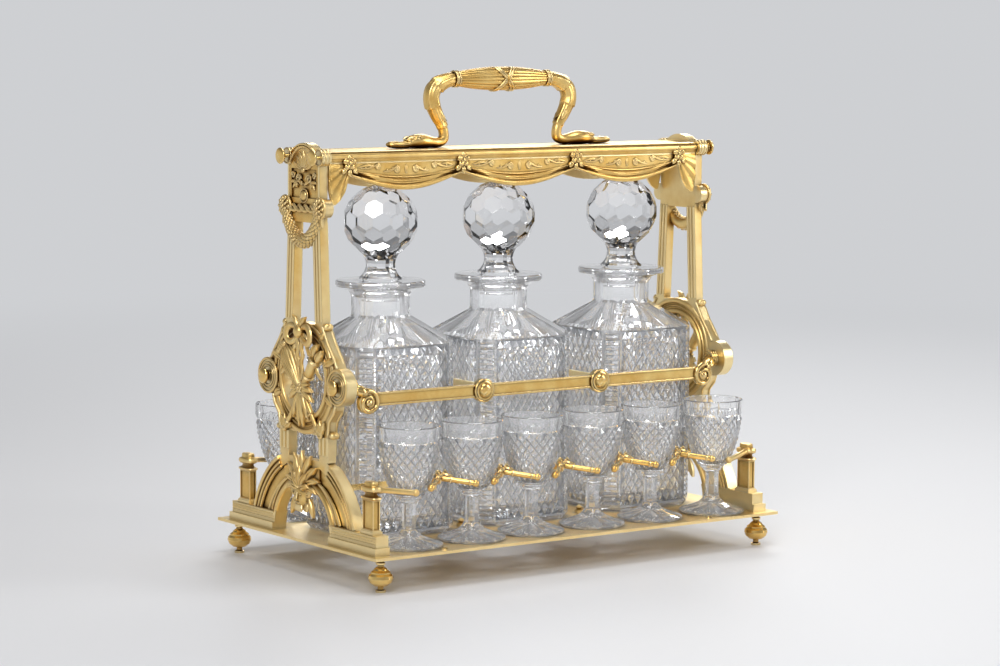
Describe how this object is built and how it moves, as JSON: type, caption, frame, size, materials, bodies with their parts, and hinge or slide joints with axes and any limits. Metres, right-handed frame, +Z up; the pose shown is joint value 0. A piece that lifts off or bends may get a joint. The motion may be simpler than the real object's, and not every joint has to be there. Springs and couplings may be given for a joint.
{
  "type": "tantalus",
  "caption": "Gilt bronze tantalus: square cut-glass decanters and stem glasses in an openwork stand under a hinged, locking top with a bird-head handle.",
  "frame": {"origin": "middle of the footprint, on the table under the feet", "axes": "+X along the long side to the right as seen from the front, +Y to the back, +Z up"},
  "size_m": [0.38, 0.221, 0.3754],
  "materials": {
    "gilt_bronze": "old fire gilding, satin with burnished edges",
    "decanter_crystal": "clear cut crystal",
    "stopper_crystal": "clear facetted crystal",
    "glass_crystal": "clear cut crystal"
  },
  "bodies": {
    "stand": {"base_plate": "gilt_bronze", "foot_left_front": "gilt_bronze", "foot_left_back": "gilt_bronze", "foot_right_front": "gilt_bronze", "foot_right_back": "gilt_bronze", "plate_studs": "gilt_bronze", "leaf_stops": "gilt_bronze", "frame_screws": "gilt_bronze", "bar_bolts": "gilt_bronze", "end_frame_left": "gilt_bronze", "garland_left": "gilt_bronze", "trophy_left": "gilt_bronze", "mascaron_left": "gilt_bronze", "pedestal_left_front": "gilt_bronze", "pedestal_left_back": "gilt_bronze", "hinge_pin_left": "gilt_bronze", "divider_left": "gilt_bronze", "end_frame_right": "gilt_bronze", "garland_right": "gilt_bronze", "trophy_right": "gilt_bronze", "mascaron_right": "gilt_bronze", "pedestal_right_front": "gilt_bronze", "pedestal_right_back": "gilt_bronze", "hinge_pin_right": "gilt_bronze", "divider_right": "gilt_bronze", "retaining_bar_front": "gilt_bronze", "retaining_bar_back": "gilt_bronze", "glass_rack_front": "gilt_bronze", "glass_rack_back": "gilt_bronze"},
    "lid": {"lid_plate": "gilt_bronze", "lid_rail_front": "gilt_bronze", "lid_rail_back": "gilt_bronze", "lid_keepers": "gilt_bronze", "lid_lug_left_front": "gilt_bronze", "lid_lug_left_back": "gilt_bronze", "lid_lug_right_front": "gilt_bronze", "lid_lug_right_back": "gilt_bronze", "lid_apron_front": "gilt_bronze", "lid_apron_back": "gilt_bronze", "handle": "gilt_bronze"},
    "lock_bolt_left": {"lock_bolt_left": "gilt_bronze"},
    "lock_bolt_right": {"lock_bolt_right": "gilt_bronze"},
    "decanter_left": {"decanter_left": "decanter_crystal"},
    "stopper_left": {"stopper_left": "stopper_crystal"},
    "decanter_middle": {"decanter_middle": "decanter_crystal"},
    "stopper_middle": {"stopper_middle": "stopper_crystal"},
    "decanter_right": {"decanter_right": "decanter_crystal"},
    "stopper_right": {"stopper_right": "stopper_crystal"},
    "glass_front_1": {"glass_front_1": "glass_crystal"},
    "glass_front_2": {"glass_front_2": "glass_crystal"},
    "glass_front_3": {"glass_front_3": "glass_crystal"},
    "glass_front_4": {"glass_front_4": "glass_crystal"},
    "glass_front_5": {"glass_front_5": "glass_crystal"},
    "glass_front_6": {"glass_front_6": "glass_crystal"},
    "glass_back_1": {"glass_back_1": "glass_crystal"},
    "glass_back_2": {"glass_back_2": "glass_crystal"},
    "glass_back_3": {"glass_back_3": "glass_crystal"},
    "glass_back_4": {"glass_back_4": "glass_crystal"},
    "glass_back_5": {"glass_back_5": "glass_crystal"},
    "glass_back_6": {"glass_back_6": "glass_crystal"}
  },
  "joints": [
    {"name": "lid_hinge", "type": "hinge", "parent": "stand", "child": "lid", "pos_m": [0, 0.0218, 0.3103], "axis": [-1, 0, 0], "range_deg": [0, 95]},
    {"name": "lock_slide_left", "type": "slide", "parent": "stand", "child": "lock_bolt_left", "axis": [1, 0, 0], "range_m": [0, 0.003]},
    {"name": "lock_slide_right", "type": "slide", "parent": "stand", "child": "lock_bolt_right", "axis": [-1, 0, 0], "range_m": [0, 0.003]},
    {"name": "decanter_lift_left", "type": "slide", "parent": "stand", "child": "decanter_left", "axis": [0, 0, 1], "range_m": [0, 0.003]},
    {"name": "stopper_turn_left", "type": "hinge", "parent": "decanter_left", "child": "stopper_left", "pos_m": [-0.113, 0, 0.217], "axis": [0, 0, 1], "continuous": true},
    {"name": "decanter_lift_middle", "type": "slide", "parent": "stand", "child": "decanter_middle", "axis": [0, 0, 1], "range_m": [0, 0.003]},
    {"name": "stopper_turn_middle", "type": "hinge", "parent": "decanter_middle", "child": "stopper_middle", "pos_m": [-0.0035, 0, 0.217], "axis": [0, 0, 1], "continuous": true},
    {"name": "decanter_lift_right", "type": "slide", "parent": "stand", "child": "decanter_right", "axis": [0, 0, 1], "range_m": [0, 0.003]},
    {"name": "stopper_turn_right", "type": "hinge", "parent": "decanter_right", "child": "stopper_right", "pos_m": [0.117, 0, 0.217], "axis": [0, 0, 1], "continuous": true},
    {"name": "glass_front_1_lift", "type": "slide", "parent": "stand", "child": "glass_front_1", "axis": [0, 0, 1], "range_m": [0, 0.032]},
    {"name": "glass_front_2_lift", "type": "slide", "parent": "stand", "child": "glass_front_2", "axis": [0, 0, 1], "range_m": [0, 0.032]},
    {"name": "glass_front_3_lift", "type": "slide", "parent": "stand", "child": "glass_front_3", "axis": [0, 0, 1], "range_m": [0, 0.032]},
    {"name": "glass_front_4_lift", "type": "slide", "parent": "stand", "child": "glass_front_4", "axis": [0, 0, 1], "range_m": [0, 0.032]},
    {"name": "glass_front_5_lift", "type": "slide", "parent": "stand", "child": "glass_front_5", "axis": [0, 0, 1], "range_m": [0, 0.032]},
    {"name": "glass_front_6_lift", "type": "slide", "parent": "stand", "child": "glass_front_6", "axis": [0, 0, 1], "range_m": [0, 0.032]},
    {"name": "glass_back_1_lift", "type": "slide", "parent": "stand", "child": "glass_back_1", "axis": [0, 0, 1], "range_m": [0, 0.032]},
    {"name": "glass_back_2_lift", "type": "slide", "parent": "stand", "child": "glass_back_2", "axis": [0, 0, 1], "range_m": [0, 0.032]},
    {"name": "glass_back_3_lift", "type": "slide", "parent": "stand", "child": "glass_back_3", "axis": [0, 0, 1], "range_m": [0, 0.032]},
    {"name": "glass_back_4_lift", "type": "slide", "parent": "stand", "child": "glass_back_4", "axis": [0, 0, 1], "range_m": [0, 0.032]},
    {"name": "glass_back_5_lift", "type": "slide", "parent": "stand", "child": "glass_back_5", "axis": [0, 0, 1], "range_m": [0, 0.032]},
    {"name": "glass_back_6_lift", "type": "slide", "parent": "stand", "child": "glass_back_6", "axis": [0, 0, 1], "range_m": [0, 0.032]}
  ]
}
